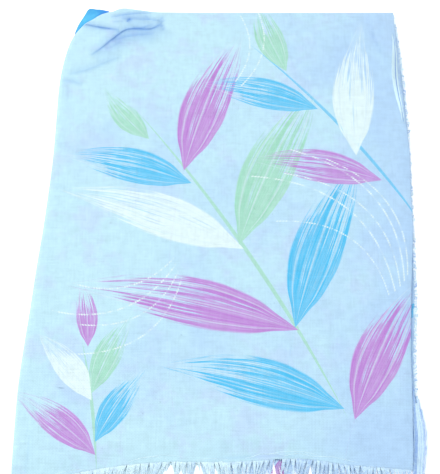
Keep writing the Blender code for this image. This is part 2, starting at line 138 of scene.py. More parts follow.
def plan(u, v):
    """The place on the floor u of the way across and v of the way back between the panel's four edges."""
    front_left, front_right = left_x(-HALF_LENGTH), right_x(-HALF_LENGTH)
    back_left, back_right = left_x(HALF_LENGTH), right_x(HALF_LENGTH)
    front_x = front_left + (front_right - front_left) * u
    back_x = back_left + (back_right - back_left) * u
    left_y = front_y(front_left) + (back_y(back_left) - front_y(front_left)) * v
    right_y = front_y(front_right) + (back_y(back_right) - front_y(front_right)) * v
    x = left_x(left_y) + (right_x(right_y) - left_x(left_y)) * u
    y = front_y(front_x) + (back_y(back_x) - front_y(front_x)) * v
    return x, y


def panel_height(x, y):
    """The panel's height with its edges turned down and no creases."""
    left, back = np.maximum(x - left_x(y), 0.0), np.maximum(back_y(x) - y, 0.0)
    right, front = np.maximum(right_x(y) - x, 0.0), np.maximum(y - front_y(x), 0.0)
    near_left = 1 - np.clip(left / LEFT_FOLD.width, 0, 1)
    near_back = 1 - np.clip(back / BACK_FOLD.width, 0, 1)
    drops = (
        LEFT_FOLD.drop * (1 - np.sqrt(1 - near_left**2)),
        BACK_FOLD.drop * (1 - np.sqrt(1 - near_back**2)),
        RIGHT_EDGE.drop * (1 - np.clip(right / RIGHT_EDGE.width, 0, 1)) ** 2,
        HEM.drop * (1 - eased(front / HEM.width)),
    )
    return STACK_HEIGHT - sum(drop**3 for drop in drops) ** (1 / 3)


def wandering(x, y, size, seed):
    """An uneven value from about -1 to 1 at each place, which changes over that size."""
    return np.array([noise.noise((a / size, b / size, seed)) for a, b in np.broadcast(x, y)])


# The edge of each layer, from the floor up: between what heights it shows, how far in from the top panel's
# edge it reaches, how far in the recess above it goes, and how blunt it is.
Lip = namedtuple("Lip", "low high reach recess blunt")
LEFT_LIPS = (Lip(0.0, 2.1, 0.8, 3.6, 1.0), Lip(2.2, 4.2, 0.5, 4.6, 1.0))
RIGHT_LIPS = (
    Lip(0.0, 0.8, 0.8, 3.4, 0.35), Lip(1.2, 2.0, 1.8, 4.2, 0.35),
    Lip(2.5, 3.3, 0.7, 3.6, 0.35), Lip(3.8, 4.6, 2.0, 5.0, 0.35),
)
FRONT_LIPS = (Lip(0.0, 0.8, 1.3, 14.0, 0.3), Lip(0.9, 5.2, 20.3, 29.0, 0.8))
BACK_LIPS = (Lip(0.0, 0.6, 3.4, 6.0, 0.5), Lip(0.9, 7.2, 5.7, 8.0, 0.6))
RINGS = 24
LID_INSETS = ((14.0, 22.0, 40.0, 12.0), (30.0, 40.0, 60.0, 30.0))
CORNER_RADIUS = 8.0
RIM_POINTS = (108, 150)


def rim_places(across, along):
    """Places round the unit square, anticlockwise from its front left corner."""
    u, v = np.arange(across) / across, np.arange(along) / along
    full_u, full_v = np.ones(along), np.ones(across)
    return (
        np.concatenate((u, full_u, 1 - u, 0 * full_u)),
        np.concatenate((0 * full_v, v, full_v, 1 - v)),
    )


def profile(lips):
    """How far in and how high each ring of one side lies, from the floor up."""
    steps = RINGS // len(lips)
    insets, heights = [], []
    for lip in lips:
        for turn in np.linspace(-math.pi / 2, math.pi / 2, steps):
            insets.append(lip.recess - (lip.recess - lip.reach) * abs(math.cos(turn)) ** lip.blunt)
            heights.append(lip.low + (lip.high - lip.low) * (0.5 + 0.5 * math.sin(turn)))
    return insets, heights


def rim_point(u, v, insets, heights):
    """Places round the stack at an inset and a height for the left, right, front and back, rounded at the
    corners."""
    across, along = 2 * HALF_WIDTH, 2 * HALF_LENGTH
    beside = np.clip(1 - np.minimum(u, 1 - u) * across / CORNER_RADIUS, 0, 1)
    behind = np.clip(1 - np.minimum(v, 1 - v) * along / CORNER_RADIUS, 0, 1)
    corner = (beside > 0) & (behind > 0)
    side_inset = np.where(corner, (1 - beside * np.sqrt(1 - behind**2 / 2)) * CORNER_RADIUS / across, 0)
    end_inset = np.where(corner, (1 - behind * np.sqrt(1 - beside**2 / 2)) * CORNER_RADIUS / along, 0)
    u = np.where(corner, np.where(u < 0.5, side_inset, 1 - side_inset), u)
    v = np.where(corner, np.where(v < 0.5, end_inset, 1 - end_inset), v)
    left, right, front, back = insets
    share_across = left / across + (1 - (left + right) / across) * u
    share_along = front / along + (1 - (front + back) / along) * v
    x, y = plan(share_across, share_along)
    to_sides = (u * across, (1 - u) * across, v * along, (1 - v) * along)
    weights = [np.maximum(1 - distance / (2 * CORNER_RADIUS), 0) for distance in to_sides]
    height = sum(weight * value for weight, value in zip(weights, heights)) / sum(weights)
    return np.c_[x, y, height]


def placed(name, data):
    """A mesh, curve, light or camera as an object of that name in the scene."""
    made = bpy.data.objects.new(name, data)
    bpy.context.scene.collection.objects.link(made)
    return made


def shaped(name, maker):
    """A finished shape as a smooth object in the scene."""
    mesh = bpy.data.meshes.new(name)
    maker.to_mesh(mesh)
    maker.free()
    mesh.shade_smooth()
    return placed(name, mesh)


# Each ply's edge is uneven over 70 mm and over 16 mm, and more finely so where it is raw, at the right. The
# noise is read round a square a little larger than the stack.
NOISE_SQUARE = 900.0
u, v = rim_places(*RIM_POINTS)
sides = [profile(lips) for lips in (LEFT_LIPS, RIGHT_LIPS, FRONT_LIPS, BACK_LIPS)]
ends = (u * NOISE_SQUARE, v * NOISE_SQUARE)
rings = []
for k in range(RINGS):
    insets = [side[0][k] for side in sides]
    ply = 1.0 + k // (RINGS // len(RIGHT_LIPS))
    waves = 1.1 * wandering(*ends, 70.0, ply) + 0.5 * wandering(*ends, 16.0, ply)
    waves += np.where(u > 0.99, 0.5 * wandering(*ends, 5.0, ply), 0.0)
    rings.append(rim_point(u, v, [inset + waves for inset in insets], [side[1][k] for side in sides]))
for insets in LID_INSETS:
    rings.append(rim_point(u, v, insets, [LID_HEIGHT] * 4))

maker = bmesh.new()
place = maker.verts.layers.int.new("place")
bmesh.ops.create_circle(maker, cap_ends=True, segments=len(u), radius=1.0)
for k, vertex in enumerate(maker.verts):
    vertex[place] = k
rim = list(maker.edges)
for k, ring in enumerate(rings):
    if k:
        made = bmesh.ops.extrude_edge_only(maker, edges=rim)["geom"]
        rim = [part for part in made if isinstance(part, bmesh.types.BMEdge)]
        rim = [edge for edge in rim if len(edge.link_faces) == 1]
    for vertex in {vertex for edge in rim for vertex in edge.verts}:
        vertex.co = Vector(ring[vertex[place]] + MIDDLE) * MM
bmesh.ops.contextual_create(maker, geom=rim)
bmesh.ops.recalc_face_normals(maker, faces=maker.faces)
folded_layers = shaped("folded_layers", maker)
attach(folded_layers, "root")
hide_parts("hidden_layers")


def linear(colour):
    """An sRGB hex colour as linear values."""
    parts = [int(colour[k : k + 2], 16) / 255 for k in (0, 2, 4)]
    return (*(c / 12.92 if c <= 0.04045 else ((c + 0.055) / 1.055) ** 2.4 for c in parts), 1.0)


def add_node(tree, kind, inputs=(), **settings):
    """Adds a node with its settings, and gives its output, or all of them where more than one is in use.
    inputs has each socket's value or the output that it is linked from: in order, or by number or name."""
    made = tree.nodes.new("ShaderNode" + kind)
    for setting, value in settings.items():
        setattr(made, setting, value)
    for socket, value in inputs.items() if isinstance(inputs, dict) else enumerate(inputs):
        if isinstance(value, bpy.types.NodeSocket):
            tree.links.new(value, made.inputs[socket])
        else:
            made.inputs[socket].default_value = value
    in_use = [output for output in made.outputs if output.enabled]
    return in_use[0] if len(in_use) == 1 else made.outputs


KINDS = {"Cloth": "Vector", "Place": "Vector", "Below": "Color", "Dye": "Color", "Color": "Color"}


def new_group(name, inputs, outputs):
    """An empty node group with the named sockets, add_node for it, and its own inputs and outputs."""
    group = bpy.data.node_groups.new(name, "ShaderNodeTree")
    for way, sockets in (("INPUT", inputs), ("OUTPUT", outputs)):
        for socket in sockets.split():
            kind = "NodeSocket" + KINDS.get(socket, "Float")
            group.interface.new_socket(socket, in_out=way, socket_type=kind)
    ends = group.nodes.new("NodeGroupInput").outputs, group.nodes.new("NodeGroupOutput").inputs
    return group, partial(add_node, group), *ends


# Plain weave of uneven cotton yarns. The real yarns are 0.4 mm apart, too fine to show from here, so the
# weave's raised crossings are drawn at 1.6 mm and kept faint. What shows is its unevenness: slubs, thick
# places that run 5 to 30 mm along a yarn, thin cloudy places, and dark neps, 1 mm knots, some 20 mm apart.
THREAD = 1.6 * MM
RELIEF = 0.1
Slubs = namedtuple("Slubs", "across along weight")
weave, add, cloth_in, weave_out = new_group("plain_weave", "Cloth", "Height Tone")
turns = add("VectorMath", (cloth_in["Cloth"], (math.pi / THREAD,) * 3), operation="MULTIPLY")
over = add("VectorMath", (turns,), operation="SINE")
parts = add("SeparateXYZ", (over,))
raised = add("Math", (parts[0], parts[1]), operation="MULTIPLY")
for slubs in (Slubs(40, 620, 0.55), Slubs(560, 36, 0.5), Slubs(150, 900, 0.4), Slubs(850, 140, 0.35)):
    drawn_out = add("VectorMath", (cloth_in["Cloth"], (slubs.across, slubs.along, 1)), operation="MULTIPLY")
    streaks = add("TexNoise", {"Vector": drawn_out, "Scale": 1.0, "Detail": 1.0})
    raised = add("Math", (streaks[0], slubs.weight / RELIEF, raised), operation="MULTIPLY_ADD")
height = add("Math", (raised, RELIEF), operation="MULTIPLY")
mottle = add("TexNoise", {"Vector": cloth_in["Cloth"], "Scale": 95.0, "Detail": 4.0, "Roughness": 0.6})
cloudy = add("Math", (mottle[0], 0.9, height), operation="MULTIPLY_ADD")
knots = add("TexVoronoi", {"Vector": cloth_in["Cloth"], "Scale": 48.0})
nep = add("MapRange", (knots["Distance"], 0.02, 0.06, 1.0, 0.0))
chosen = add("SeparateColor", (knots["Color"],))
some = add("MapRange", (chosen[0], 0.55, 1.0))
knot = add("Math", (nep, some), operation="MULTIPLY")
tone = add("Math", (knot, -1.0, cloudy), operation="MULTIPLY_ADD")
weave.links.new(height, weave_out["Height"])
weave.links.new(tone, weave_out["Tone"])

# The dyed ground: pale ice blue that has taken the dye unevenly, with soft clouds of lilac. Its colour
# also turns a deeper blue towards the right, where the raw edges are.
ICE_BLUE, LILAC, DEEP_BLUE = "B2D6E2", "B2CDE3", "A6C6E3"
ground, add, cloth_in, ground_out = new_group("dyed_ground", "Cloth", "Color")
clouds = add("TexNoise", {"Vector": cloth_in["Cloth"], "Scale": 16.0, "Detail": 4.0, "Roughness": 0.65})
lilac = add("MapRange", (clouds[0], 0.48, 0.64), interpolation_type="SMOOTHSTEP")
shifted = add("Mapping", (cloth_in["Cloth"], (3.1, 1.7, 0.4)))
depths = add("TexNoise", {"Vector": shifted, "Scale": 9.0, "Detail": 4.0, "Roughness": 0.6})
rightward = add("SeparateXYZ", (cloth_in["Cloth"],))
lean = add("Math", (rightward[0], 0.85, depths[0]), operation="MULTIPLY_ADD")
deeper = add("MapRange", (lean, 0.36, 0.82), interpolation_type="SMOOTHSTEP")
hazed = add("Mix", {0: lilac, 6: linear(ICE_BLUE), 7: linear(LILAC)}, data_type="RGBA")
dyed = add("Mix", {0: deeper, 6: hazed, 7: linear(DEEP_BLUE)}, data_type="RGBA")
ground.links.new(dyed, ground_out["Color"])

# One printed leaf: a long willow leaf laid on with a broad dry brush, so its dye breaks into streaks along
# the veins towards the tip. Place runs from 0 to 1 from stalk to tip, and to 1 at half of its width.
leaf, add, leaf_in, leaf_out = new_group("brushed_leaf", "Place Below Dye Cover Bend Dryness", "Color")
parts = add("SeparateXYZ", (leaf_in["Place"],))
from_tip = add("Math", (1.0, parts[0]), operation="SUBTRACT")
arch = add("Math", (parts[0], from_tip), operation="MULTIPLY")
bent = add("Math", (arch, leaf_in["Bend"], parts[1]), operation="MULTIPLY_ADD")
outline = add("FloatCurve", {1: parts[0]})
curve = outline.node.mapping.curves[0].points
for place, width in ((0.08, 0.3), (0.26, 0.84), (0.42, 1.0), (0.64, 0.84), (0.85, 0.42)):
    curve.new(place, width)
curve[0].location = (0.0, 0.02)
curve[-1].location = (1.0, 0.0)
outline.node.mapping.update()
width = add("Math", (outline, 0.001), operation="MAXIMUM")
vein = add("Math", (bent, width), operation="DIVIDE")
spread = add("CombineXYZ", (parts[0], vein, leaf_in["Bend"]))
stretched = add("Mapping", {0: spread, 3: (2.4, 15.0, 9.0)})
bristles = add("TexNoise", {"Vector": stretched, "Scale": 1.0, "Detail": 4.0, "Roughness": 0.7})
loaded = add("Mapping", {0: spread, 3: (3.0, 1.6, 5.0)})
patches = add("TexNoise", {"Vector": loaded, "Scale": 1.0, "Detail": 2.0})
drier = add("MapRange", (parts[0], 0.25, 1.0, 0.0, leaf_in["Dryness"]))
patchy = add("Math", (patches[0], -0.35, bristles[0]), operation="MULTIPLY_ADD")
left_by_brush = add("Math", (patchy, drier), operation="SUBTRACT")
brushed = add("MapRange", (left_by_brush, 0.1, 0.19), interpolation_type="SMOOTHSTEP")
from_vein = add("Math", (vein,), operation="ABSOLUTE")
ragged = add("Math", (bristles[0], 0.22, from_vein), operation="MULTIPLY_ADD")
within = add("MapRange", (ragged, 1.0, 1.05, 1.0, 0.0))
dyed_here = add("Math", (brushed, within), operation="MULTIPLY")
cover = add("Math", (dyed_here, leaf_in["Cover"]), operation="MULTIPLY")
thin = add("MapRange", (bristles[0], 0.3, 0.62, 0.34, 0.0))
paler = add("Mix", {0: thin, 6: leaf_in["Dye"], 7: linear("CFE0E6")}, data_type="RGBA")
printed = add("Mix", {0: cover, 6: leaf_in["Below"], 7: paler}, data_type="RGBA")
ribs = add("Math", (vein, 0.31), operation="PINGPONG")
rib_line = add("MapRange", (ribs, 0.01, 0.045, 0.5, 0.0))
rib = add("Math", (rib_line, within), operation="MULTIPLY")
veined = add("Mix", {0: rib, 6: printed, 7: linear("C4D9E2")}, data_type="RGBA")
leaf.links.new(veined, leaf_out["Color"])

# The print's dyes, and its leaves: where the stalk is on the cloth, turn in degrees, length and width in
# millimetres, bend in half widths, dye, how well it covers, and how dry the brush ran. A stem is a very
# narrow leaf.
SKY, SAGE, ORCHID, WHITE = "34AFDD", "90C9AF", "AD6AC1", "D2E5E4"
Leaf = namedtuple("Leaf", "x y turn length width bend dye cover dryness")


def print_shape(add, cloth, below, group, shape, half_width, **looks):
    """Prints one leaf or tendril over a colour: the group draws it, with its own length as 1."""
    at, turn = (shape.x * MM, shape.y * MM, 0.0), (0.0, 0.0, math.radians(shape.turn))
    size = (shape.length * MM, half_width * MM, 1.0)
    place = add("Mapping", (cloth, at, turn, size), vector_type="TEXTURE")
    return add("Group", {"Place": place, "Below": below, "Bend": shape.bend, **looks}, node_tree=group)


def print_leaves(add, cloth, below, rows):
    """Prints leaves over a colour, one over another."""
    for shape in (Leaf(*row) for row in rows):
        looks = {"Dye": linear(shape.dye), "Cover": shape.cover, "Dryness": shape.dryness}
        below = print_shape(add, cloth, below, leaf, shape, shape.width / 2, **looks)
    return below


def new_material(name):
    """A material with no nodes yet, and add_node for it."""
    material = bpy.data.materials.new(name)
    material.use_nodes = True
    material.node_tree.nodes.clear()
    return material, partial(add_node, material.node_tree)


def finish_voile(add, cloth, colour):
    """Plain cotton voile: matt, with a faint sheen at a low angle from the fine hairs that stand off its
    yarns, and the weave's unevenness over its printed colour. Shade is painted into the colour from the
    crease_shade attribute: bluer and deeper, as where light has gone through the cloth twice."""
    threads = add("Group", {"Cloth": cloth}, node_tree=weave)
    tone = add("MapRange", (threads["Tone"], 0.8, 1.9, 0.86, 1.15))
    toned = add("VectorMath", {0: colour, 3: tone}, operation="SCALE")
    # Painted shade: the crease_shade attribute darkens the colour towards a deep blue.
    crease = add("Attribute", attribute_name="crease_shade")
    through = add("Mix", {0: crease["Fac"], 6: (1, 1, 1, 1), 7: (0.3, 0.44, 0.84, 1)}, data_type="RGBA")
    shaded = add("VectorMath", (toned, through), operation="MULTIPLY")
    bump = add("Bump", {"Height": threads["Height"], "Strength": 0.45, "Distance": 0.0004})
    shader = add(
        "BsdfPrincipled",
        {"Base Color": shaded, "Roughness": 0.85, "Sheen Weight": 0.1, "Sheen Roughness": 0.5,
         "Specular IOR Level": 0.3, "Normal": bump},
    )
    add("OutputMaterial", (shader,))


# The folded layers show the same dyed and printed voile. It reads Object coordinates, drawn on by 15 mm for
# each millimetre from the floor up, so that each ply's edge shows another stretch of the print.
DRAWN_ON = 15.0
folded_voile, add = new_material("folded_cotton_voile")
place = add("TexCoord")["Object"]
parts = add("SeparateXYZ", (place,))
drawn_on = add("Math", (parts[2], DRAWN_ON, parts[1]), operation="MULTIPLY_ADD")
cloth = add("CombineXYZ", (parts[0], drawn_on))
dyed = add("Group", {"Cloth": cloth}, node_tree=ground)
UNDERSIDE_LEAVES = (
    (-215, -60, 30, 230, 54, 1.1, SKY, 0.8, 0.3), (-190, 30, -20, 190, 46, -1.0, ORCHID, 0.75, 0.34),
    (225, -30, 150, 220, 52, 1.1, SAGE, 0.8, 0.3), (222, 190, 200, 200, 50, -1.0, SKY, 0.8, 0.3),
    (-40, -180, 8, 230, 54, 1.0, ORCHID, 0.75, 0.32), (-60, 235, -12, 210, 48, 1.0, WHITE, 0.8, 0.28),
    (-20, 20, 70, 200, 50, 1.0, SAGE, 0.8, 0.3), (60, -310, 40, 150, 40, 1.0, SKY, 0.8, 0.3),
)
finish_voile(add, cloth, print_leaves(add, cloth, dyed, UNDERSIDE_LEAVES))
folded_layers.data.materials.append(folded_voile)


# ----------------------------------------------------------------------------------------------------------
# The next ply down, which shows along the right: the same voile, its raw edge a little past the panel's. It
# lies lower than that edge, and rises to where it is tucked between the panel and the folded layers.
VOILE = 0.4
SIDE_TUCK = 15.0
SIDE_HEIGHT = 6.2
SIDE_RISE = 1.9
SIDE_FALL = 0.15
SIDE_HEM_DROP = 3.7
SIDE_FRONT, SIDE_BACK = -288.0, 288.0
SIDE_SPACING = 1.6
RAW_SHARE = 0.75

# In front of FLARE_START its edge has parted into loose bundles. Just past the panel's edge shade is
# painted on it, as the panel's shadow.
FLARE_START = -198.0
GAP_PLACE, GAP_WIDTH = 0.6, 2.0
under_out = smooth_curve([(row.along, row.under) for row in SECTIONS])
thread_length = smooth_curve([(row.along, row.threads) for row in SECTIONS])


def ply_edge_x(y):
    """Where the ply's cloth ends and its loose threads begin."""
    return HALF_WIDTH + under_out(y) - thread_length(y) + 1.0


def side_height(x, y):
    inside = right_x(y) - x
    height = SIDE_HEIGHT + SIDE_RISE * eased(inside / SIDE_TUCK) + SIDE_FALL * np.minimum(inside, 0.0)
    height -= SIDE_HEM_DROP * (1 - eased((y - front_y(x)) / HEM.width))
    return np.where(inside > -1.0, np.minimum(height, panel_height(x, y) - 2 * VOILE), height)


def side_points(share, y):
    """The ply's outer side, at a share of the way from its tucked margin to its raw edge."""
    raw = eased((share - RAW_SHARE) / (1 - RAW_SHARE))
    x = right_x(y) - SIDE_TUCK + (ply_edge_x(y) - right_x(y) + SIDE_TUCK) * share
    height = side_height(x, y) + raw * 0.35 * wandering(x, y, 11.0, 6.0)
    x = x + raw * (0.5 * wandering(x, y, 5.0, 7.0) + 0.5 * wandering(x, y, 19.0, 8.0))
    flare = eased((FLARE_START - y) / 30.0)
    uneven = np.clip(0.6 + 0.7 * wandering(x, y, 7.0, 10.0), 0, 1)
    # Painted shadow: a darker band just past the panel's edge, deeper in the flare.
    shade = (0.45 * uneven + 0.4 * flare) * np.exp(-(((x - right_x(y) - GAP_PLACE) / GAP_WIDTH) ** 2))
    return np.c_[x, y, height], np.c_[x, y], shade


def cloth_sheet(name, columns, rows, points_at):
    """A sheet of cloth with its own UV map in metres of cloth, and a thin wall under its outer side.
    points_at gives its points, where they lie in the cloth, and how deep the shade painted there is."""
    maker = bmesh.new()
    across, along = len(columns) - 1, len(rows) - 1
    bmesh.ops.create_grid(maker, x_segments=across, y_segments=along, size=0.5)
    maker.verts.index_update()
    u = np.array([columns[round((vertex.co.x + 0.5) * across)] for vertex in maker.verts])
    v = np.array([rows[round((vertex.co.y + 0.5) * along)] for vertex in maker.verts])
    points, cloth, shade = points_at(u, v)
    cloth_uv = maker.loops.layers.uv.new("cloth")
    # The painted shade of each point, which finish_voile reads.
    crease_shade = maker.verts.layers.float.new("crease_shade")
    for vertex, point, value in zip(maker.verts, (points + MIDDLE) * MM, shade):
        vertex.co = point
        vertex[crease_shade] = value
    for face in maker.faces:
        for loop in face.loops:
            loop[cloth_uv].uv = cloth[loop.vert.index] * MM
    sheet = shaped(name, maker)
    wall = sheet.modifiers.new("wall", "SOLIDIFY")
    wall.thickness = VOILE * MM
    wall.offset = -1.0
    return sheet


def spaced(*stops):
    """Distances that run through (place, spacing up to it) stops."""
    places = [stops[0][0]]
    for place, spacing in stops[1:]:
        count = max(round((place - places[-1]) / spacing), 1)
        start = places[-1]
        places += [start + (place - start) * (k + 1) / count for k in range(count)]
    return places


rows = spaced((SIDE_FRONT, 0), (SIDE_BACK, SIDE_SPACING))
side_ply = cloth_sheet("under_ply_at_the_side", [k / 14 for k in range(15)], rows, side_points)
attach(side_ply, "root")
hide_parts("side_ply")

# The same voile, with a sky blue leaf of the print that crosses its raw edge.
side_voile, add = new_material("raw_edged_cotton_voile")
cloth = add("UVMap", uv_map="cloth")
dyed = add("Group", {"Cloth": cloth}, node_tree=ground)
SIDE_LEAVES = (
    (190, -118, 30, 60, 16, 0.6, SKY, 0.95, 0.2), (240, 60, 200, 80, 22, -0.8, ORCHID, 0.7, 0.3),
    (195, 215, 40, 60, 18, 0.8, WHITE, 0.9, 0.3),
)
finish_voile(add, cloth, print_leaves(add, cloth, dyed, SIDE_LEAVES))
side_ply.data.materials.append(side_voile)


# ----------------------------------------------------------------------------------------------------------
# The corner of an inner layer, which peeks out behind the pulled in back left corner: the same voile where
# the print's deepest sky blue covers it, folded over and sinking a little to its tip.
Peek = namedtuple("Peek", "along out")
CORNER_PEEKS = (
    Peek(-15.0, 1.0), Peek(-11.0, 7.5), Peek(-5.5, 14.5), Peek(1.5, 22.0),
    Peek(7.0, 20.5), Peek(14.0, 14.0), Peek(23.0, 7.6), Peek(31.0, 3.0),
)
CORNER_HEIGHT = 3.9
CORNER_FALL = 2.0
CORNER_TUCK = 4.0
CORNER_LEAN, LEAN_SPAN = 2.4, 12.0
CORNER_ROLL = Roll(1.2, 1.6)
peek_shares = [k / (len(CORNER_PEEKS) - 1) for k in range(len(CORNER_PEEKS))]
peek_along = smooth_curve([(share, peek.along) for share, peek in zip(peek_shares, CORNER_PEEKS)])
peek_out = smooth_curve([(share, peek.out) for share, peek in zip(peek_shares, CORNER_PEEKS)])


def corner_points(share, outward):
    """The corner's outer side, from its left end to its right and from under the panel's rim outwards."""
    along, out = peek_along(share), peek_out(share)
    x, y = plan(np.maximum(along, 0) / (2 * HALF_WIDTH), 1 + np.minimum(along, 0) / (2 * HALF_LENGTH))
    past = np.clip(outward, 0, 1)
    farthest = max(peek.out for peek in CORNER_PEEKS)
    y = y - CORNER_TUCK * (past == 0) * (outward < 0) + out * past
    x = x - CORNER_LEAN * past * eased(-along / LEAN_SPAN)
    under = np.maximum(outward - 1.0, 0.0)
    y = y - CORNER_ROLL.inward * under
    height = CORNER_HEIGHT - CORNER_FALL * eased(past) * out / farthest - CORNER_ROLL.down * eased(under)
    height = height + 0.35 * wandering(x, y, 9.0, 9.0) * np.sin(math.pi * past)
    # Painted shade: darker next to the panel's rim and towards its right end, under the panel.
    shade = 0.5 * (1 - eased(past * out / 5.0)) + 0.8 * eased((share - 0.62) / 0.3)
    return np.c_[x, y, height], np.c_[x, y], shade


rows = [-1.0] + [k / 20 for k in range(21)] + [1.25, 1.6, 2.0]
corner_ply = cloth_sheet("peeking_corner", [k / 48 for k in range(49)], rows, corner_points)
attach(corner_ply, "root")
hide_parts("corner_ply")

# Voile printed solid with the sky blue dye, a little uneven where it soaked in.
corner_voile, add = new_material("sky_blue_cotton_voile")
cloth = add("UVMap", uv_map="cloth")
soaked = add("TexNoise", {"Vector": cloth, "Scale": 60.0, "Detail": 3.0})
evenness = add("MapRange", (soaked[0], 0.3, 0.7))
dye = add("Mix", {0: evenness, 6: linear("419FD6"), 7: linear("58BCE8")}, data_type="RGBA")
finish_voile(add, cloth, dye)
corner_ply.data.materials.append(corner_voile)


# ----------------------------------------------------------------------------------------------------------
# The top panel: the uppermost of six plies of cotton voile, printed with brushed leaves. It rolls round the
# long fold at the left and the crosswise fold at the back, its raw edges are at the hem and the right, and
# the pulled back left corner has puckered it.
#
# Each crease: its way, how high its crest is, how far the cloth rises to it on the left of that way and how
# far it falls off on the right, how far the crest leans over to the right, and how deep the shade painted
# along it is. The shallow rows are there mostly for their painted shade.
Crease = namedtuple("Crease", "path height rise fall lip shade")
CREASE_MARGIN, RAW_MARGIN = 4.0, 14.0
CREASES = [Crease(*row) for row in (
    (((-174, 285.5), (-164, 283), (-151, 279.5), (-139, 276.5), (-123, 273)), 2.3, 10.0, 6.0, 1.9, 0.85),
    (((-158, 237), (-145, 248), (-131, 262), (-117, 274), (-103, 276.4), (-88, 275.5),
      (-79, 279), (-73, 285)),
     3.0, 15.0, 17.0, 1.8, 0.9),
    (((-184, 210), (-172, 213), (-157, 218), (-139, 227), (-120, 236)), 1.2, 12.0, 4.0, 0.7, 0.7),
    (((-193, 201), (-180, 200), (-165, 196)), 1.0, 9.0, 4.0, 0.4, 0.7),
    (((-188, 196), (-184, 186), (-184, 172)), -0.3, 9.0, 7.0, 0.0, 0.12),
    (((-197, 119), (-172, 102.6), (-152, 89), (-98, 51)), 0.8, 10.0, 6.0, 0.3, 0.3),
    (((-198, 62), (-170, 45), (-148, 35)), 0.4, 9.0, 6.0, 0.0, 0.2),
    (((-151, 272), (-140, 262), (-136, 251)), 0.5, 5.0, 4.0, 0.2, 0.15),
    (((-114.5, 285), (-112, 288), (-110, 291.5)), -1.4, 4.4, 4.0, 0.0, 0.8),
    (((-150, 279), (-141, 276.5), (-131, 274.5)), -0.1, 2.0, 2.5, 0.0, 0.5),
    (((-132, 285), (-118, 286)), -0.6, 3.5, 3.5, 0.0, 0.3),
    (((-134, 292), (-112, 297), (-84, 299)), -0.5, 8.0, 7.0, 0.0, 0.6),
    (((-122, 290), (-96, 288), (-66, 286)), -0.3, 11.0, 11.0, 0.0, 0.5),
    (((-132, 256), (-108, 264), (-80, 266)), -0.3, 9.0, 12.0, 0.0, 0.34),
    (((-140, 243), (-128, 250), (-118, 258)), -0.2, 7.0, 8.0, 0.0, 0.14),
    (((-71, 297), (-72.5, 285), (-69, 272)), -0.6, 3.5, 3.0, 0.0, 0.4),
    (((-108, 276.5), (-96, 276), (-82, 281)), -0.2, 3.0, 3.0, 0.0, 0.35),
    (((-93, 297), (-87, 287)), -0.3, 4.0, 4.0, 0.0, 0.25),
    (((195, 298), (199, 259), (203, 222)), 0.9, 9.0, 8.0, 0.0, 0.14),
    (((183, 296), (186, 268), (196, 236)), -0.3, 5.0, 4.0, 0.0, 0.2),
    (((150, 292), (158, 240), (176, 180)), 0.35, 14.0, 12.0, 0.0, 0.05),
    (((-214, -190), (-203, -120), (-196, -40)), 0.7, 10.0, 9.0, 0.0, 0.0),
    (((-208, -300), (-205, -272), (-206, -246)), -0.5, 4.0, 5.0, 0.0, 0.14),
    (((-40, -270), (60, -262), (150, -272)), 0.8, 12.0, 8.0, 0.0, 0.05),
    (((-14, -279), (30, -277), (70, -276), (130, -283)), 0.35, 4.0, 5.0, 0.1, 0.4),
    (((30, -290), (70, -288), (120, -295)), 0.3, 3.0, 2.5, 0.1, 0.2),
)]

# Where the crest leans over, part of its fall is steep, with a line of painted shadow under it.
STEEP_SHARE, STEEP_WIDTH = 0.5, 1.8
LIP_BEFORE, LIP_PAST = 2.4, 1.1
LINE_PLACE, LINE_WIDTH = 0.8, 2.2


def beside(path, x, y):
    """How far each place lies to the left of a path, its share of the way along, and the way left."""
    shares = np.linspace(0, 1, len(path))
    way_x = smooth_curve(list(zip(shares, [point[0] for point in path])))
    way_y = smooth_curve(list(zip(shares, [point[1] for point in path])))
    dots = np.c_[way_x(np.linspace(0, 1, 25)), way_y(np.linspace(0, 1, 25))]
    starts, lengths = dots[:-1], np.array([math.dist(start, end) for start, end in zip(dots, dots[1:])])
    way = (dots[1:] - starts) / lengths[:, None]
    off = np.c_[x, y][:, None] - starts
    t = np.clip((off * way).sum(axis=2), 0, lengths)
    off -= t[..., None] * way
    distance = np.hypot(off[..., 0], off[..., 1])
    nearest = distance.argmin(axis=1)
    at = np.arange(len(x)), nearest
    turn = way[nearest, 0] * off[at][:, 1] - way[nearest, 1] * off[at][:, 0]
    share = (nearest + t[at] / lengths[nearest]) / len(starts)
    return np.sign(turn) * distance[at], share, np.c_[-way[nearest, 1], way[nearest, 0]]


def creased(points, amount):
    """Moves points of the cloth up, and a little over, for the creases, and gives the shade painted in
    them.
    """
    moved, shade = points.copy(), 0 * points[:, 0]
    for crease in CREASES:
        side, share, left = beside(crease.path, points[:, 0], points[:, 1])
        near = np.abs(side) < 3 * max(crease.rise, crease.fall)
        strength = np.clip(4 * share * (1 - share), 0, 1) ** 0.4 * amount * near
        steep = STEEP_SHARE if crease.lip > 1 else 0.0
        rise, wide = np.exp(-((side / crease.rise) ** 2)), np.exp(-((side / crease.fall) ** 2))
        fall = steep * np.exp(-((side / STEEP_WIDTH) ** 2)) + (1 - steep) * wide
        moved[:, 2] += crease.height * strength * np.where(side > 0, rise, fall)
        over = crease.lip * strength * np.exp(-((side / np.where(side > 0, LIP_BEFORE, LIP_PAST)) ** 2))
        moved[:, :2] -= left * over[:, None]
        crest = 0.25 if crease.height > 0 else 1.0
        soft = np.where(side > 0, crest * rise**4, 0.45 * wide)
        line = steep * np.exp(-(((side + LINE_PLACE) / LINE_WIDTH) ** 2))
        shade += crease.shade * strength * soft + crease.shade * strength * line
    return moved, np.clip(shade, 0, 1)


def rolled(past, roll):
    """How far in and how far down cloth lies that has gone past the rim of a fold."""
    arc = math.hypot(roll.inward, roll.down) * 1.15
    turn = np.clip(past / arc, 0, 1) * math.pi / 2
    return roll.inward * (1 - np.cos(turn)) + np.maximum(past - arc, 0.0), roll.down * np.sin(turn)


